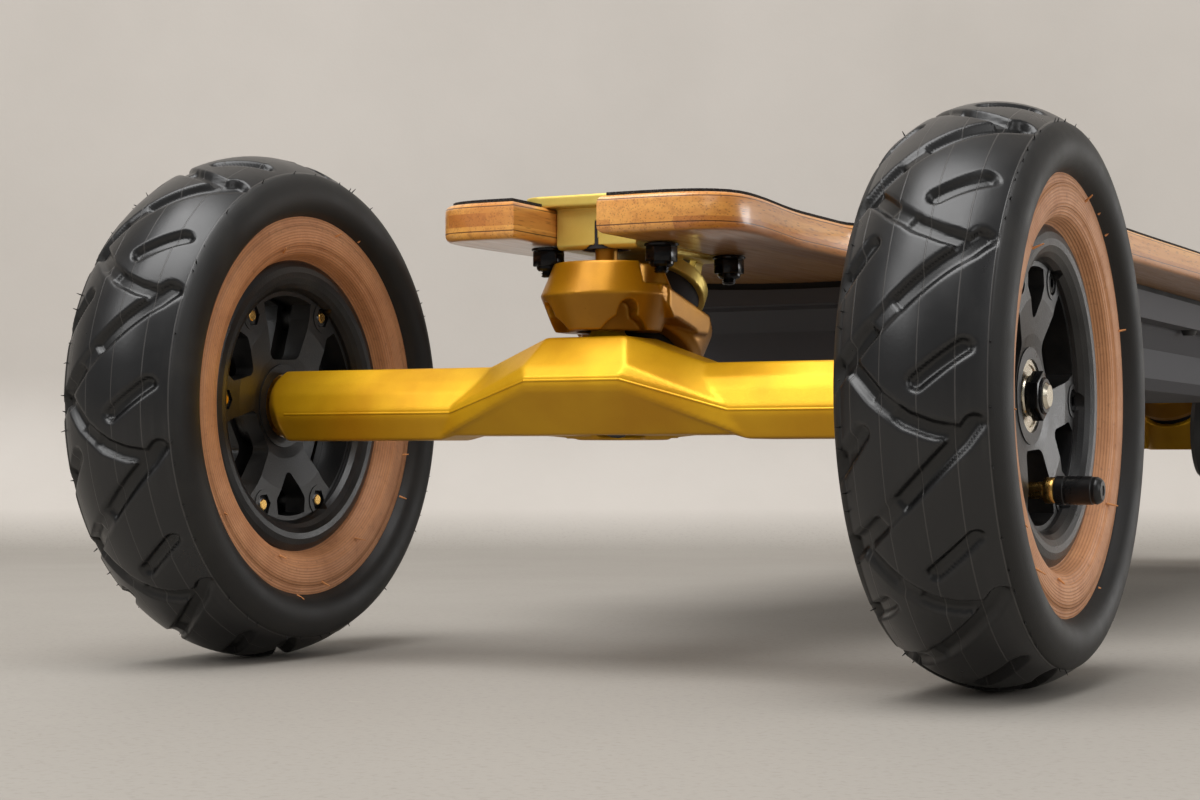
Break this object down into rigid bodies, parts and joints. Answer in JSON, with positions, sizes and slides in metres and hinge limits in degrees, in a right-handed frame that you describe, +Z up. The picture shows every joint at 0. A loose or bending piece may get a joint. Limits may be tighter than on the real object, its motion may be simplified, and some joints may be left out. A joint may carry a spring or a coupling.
{
  "type": "electric mountainboard",
  "caption": "Electric longboard with bamboo deck, forged double-kingpin trucks, large air tyres, underslung battery case and rear belt drive.",
  "frame": {"origin": "on the ground, midway between the two axles, on the board's middle plane", "axes": "+Z up, +Y from the nose to the tail, +X to the board's own left"},
  "size_m": [0.3276, 1.007, 0.175],
  "materials": {
    "tyre": "semi-gloss tread, matte shoulder, tan sidewall ring",
    "hub": "fine texture, satin",
    "bolt_brass": "polished",
    "bearing": "ground",
    "valve": "turned, with a black cap",
    "hanger_gold": "yellow-gold anodised, satin",
    "link_gold": "darker gold, satin",
    "baseplate_gold": "pale gold, satin",
    "urethane": "smooth black",
    "black_steel": "black oxide",
    "axle_steel": "turned",
    "bamboo": "clear lacquer over laminated strips",
    "grip": "coarse grit",
    "case_plastic": "satin black",
    "gasket": "matte",
    "cells": "shrink sleeve",
    "controller": "cast, matte",
    "button": "brushed",
    "port": "matte",
    "mount_plate": "satin black",
    "motor_can": "satin black",
    "pulley_metal": "machined",
    "pulley_plastic": "moulded",
    "belt": "matte"
  },
  "bodies": {
    "board": {"deck": "bamboo", "grip_tape": "grip", "case": "case_plastic", "case_gasket": "gasket", "case_screws": "black_steel", "battery_pack": "cells", "motor_controller": "controller", "charge_port": "port", "deck_bolts": "black_steel", "upper_pivot_cups": "urethane", "front_baseplate": "baseplate_gold", "rear_baseplate": "baseplate_gold"},
    "power_button": {"power_button": "button"},
    "front_link": {"front_link": "link_gold", "front_kingpins": "black_steel", "front_bushings": "urethane", "front_lower_cup": "urethane"},
    "front_hanger": {"front_hanger": "hanger_gold", "front_axles": "axle_steel", "front_axle_nuts": "black_steel"},
    "rear_link": {"rear_link": "link_gold", "rear_kingpins": "black_steel", "rear_bushings": "urethane", "rear_lower_cup": "urethane"},
    "rear_hanger": {"rear_hanger": "hanger_gold", "rear_axles": "axle_steel", "rear_axle_nuts": "black_steel", "motor_mounts": "mount_plate", "left_motor": "motor_can", "right_motor": "motor_can", "left_belt": "belt", "right_belt": "belt"},
    "front_left_wheel": {"front_left_tyre": "tyre", "front_left_hub_outer": "hub", "front_left_hub_inner": "hub", "front_left_hub_bolts": "bolt_brass", "front_left_bearings": "bearing", "front_left_valve": "valve"},
    "front_right_wheel": {"front_right_tyre": "tyre", "front_right_hub_outer": "hub", "front_right_hub_inner": "hub", "front_right_hub_bolts": "bolt_brass", "front_right_bearings": "bearing", "front_right_valve": "valve"},
    "rear_left_wheel": {"rear_left_tyre": "tyre", "rear_left_hub_outer": "hub", "rear_left_hub_inner": "hub", "rear_left_hub_bolts": "bolt_brass", "rear_left_bearings": "bearing", "rear_left_valve": "valve", "left_wheel_pulley": "pulley_plastic"},
    "rear_right_wheel": {"rear_right_tyre": "tyre", "rear_right_hub_outer": "hub", "rear_right_hub_inner": "hub", "rear_right_hub_bolts": "bolt_brass", "rear_right_bearings": "bearing", "rear_right_valve": "valve", "right_wheel_pulley": "pulley_plastic"},
    "left_rotor": {"left_motor_pulley": "pulley_metal"},
    "right_rotor": {"right_motor_pulley": "pulley_metal"}
  },
  "joints": [
    {"name": "power_button_press", "type": "slide", "parent": "board", "child": "power_button", "axis": [-1, 0, 0], "range_m": [0, 0.0012], "stiffness_N_per_m": 500, "springref_m": -0.0008},
    {"name": "front_deck_lean", "type": "hinge", "parent": "board", "child": "front_link", "pos_m": [0, -0.413, 0.1407], "axis": [0, -0.9526, 0.3043], "range_deg": [-7, 7], "stiffness_Nm_per_rad": 55, "deforming": ["front_bushings"]},
    {"name": "front_hanger_lean", "type": "hinge", "parent": "front_link", "child": "front_hanger", "pos_m": [0, -0.412, 0.1141], "axis": [0, -0.619, 0.7854], "range_deg": [-8, 8], "stiffness_Nm_per_rad": 65},
    {"name": "rear_deck_lean", "type": "hinge", "parent": "board", "child": "rear_link", "pos_m": [0, 0.413, 0.1407], "axis": [0, 0.9526, 0.3043], "range_deg": [-7, 7], "stiffness_Nm_per_rad": 55, "deforming": ["rear_bushings"]},
    {"name": "rear_hanger_lean", "type": "hinge", "parent": "rear_link", "child": "rear_hanger", "pos_m": [0, 0.412, 0.1141], "axis": [0, 0.619, 0.7854], "range_deg": [-8, 8], "stiffness_Nm_per_rad": 65},
    {"name": "front_left_wheel_spin", "type": "hinge", "parent": "front_hanger", "child": "front_left_wheel", "pos_m": [0.1338, -0.416, 0.0875], "axis": [1, 0, 0], "continuous": true},
    {"name": "front_right_wheel_spin", "type": "hinge", "parent": "front_hanger", "child": "front_right_wheel", "pos_m": [-0.1338, -0.416, 0.0875], "axis": [1, 0, 0], "continuous": true},
    {"name": "rear_left_wheel_spin", "type": "hinge", "parent": "rear_hanger", "child": "rear_left_wheel", "pos_m": [0.1338, 0.416, 0.0875], "axis": [1, 0, 0], "continuous": true},
    {"name": "rear_right_wheel_spin", "type": "hinge", "parent": "rear_hanger", "child": "rear_right_wheel", "pos_m": [-0.1338, 0.416, 0.0875], "axis": [1, 0, 0], "continuous": true},
    {"name": "left_rotor_spin", "type": "hinge", "parent": "rear_hanger", "child": "left_rotor", "pos_m": [0.0996, 0.334, 0.086], "axis": [1, 0, 0], "continuous": true},
    {"name": "right_rotor_spin", "type": "hinge", "parent": "rear_hanger", "child": "right_rotor", "pos_m": [-0.0996, 0.334, 0.086], "axis": [1, 0, 0], "continuous": true}
  ],
  "couplings": [
    {"joint": "left_rotor_spin", "follows": "rear_left_wheel_spin", "ratio": 3.5},
    {"joint": "right_rotor_spin", "follows": "rear_right_wheel_spin", "ratio": 3.5}
  ]
}
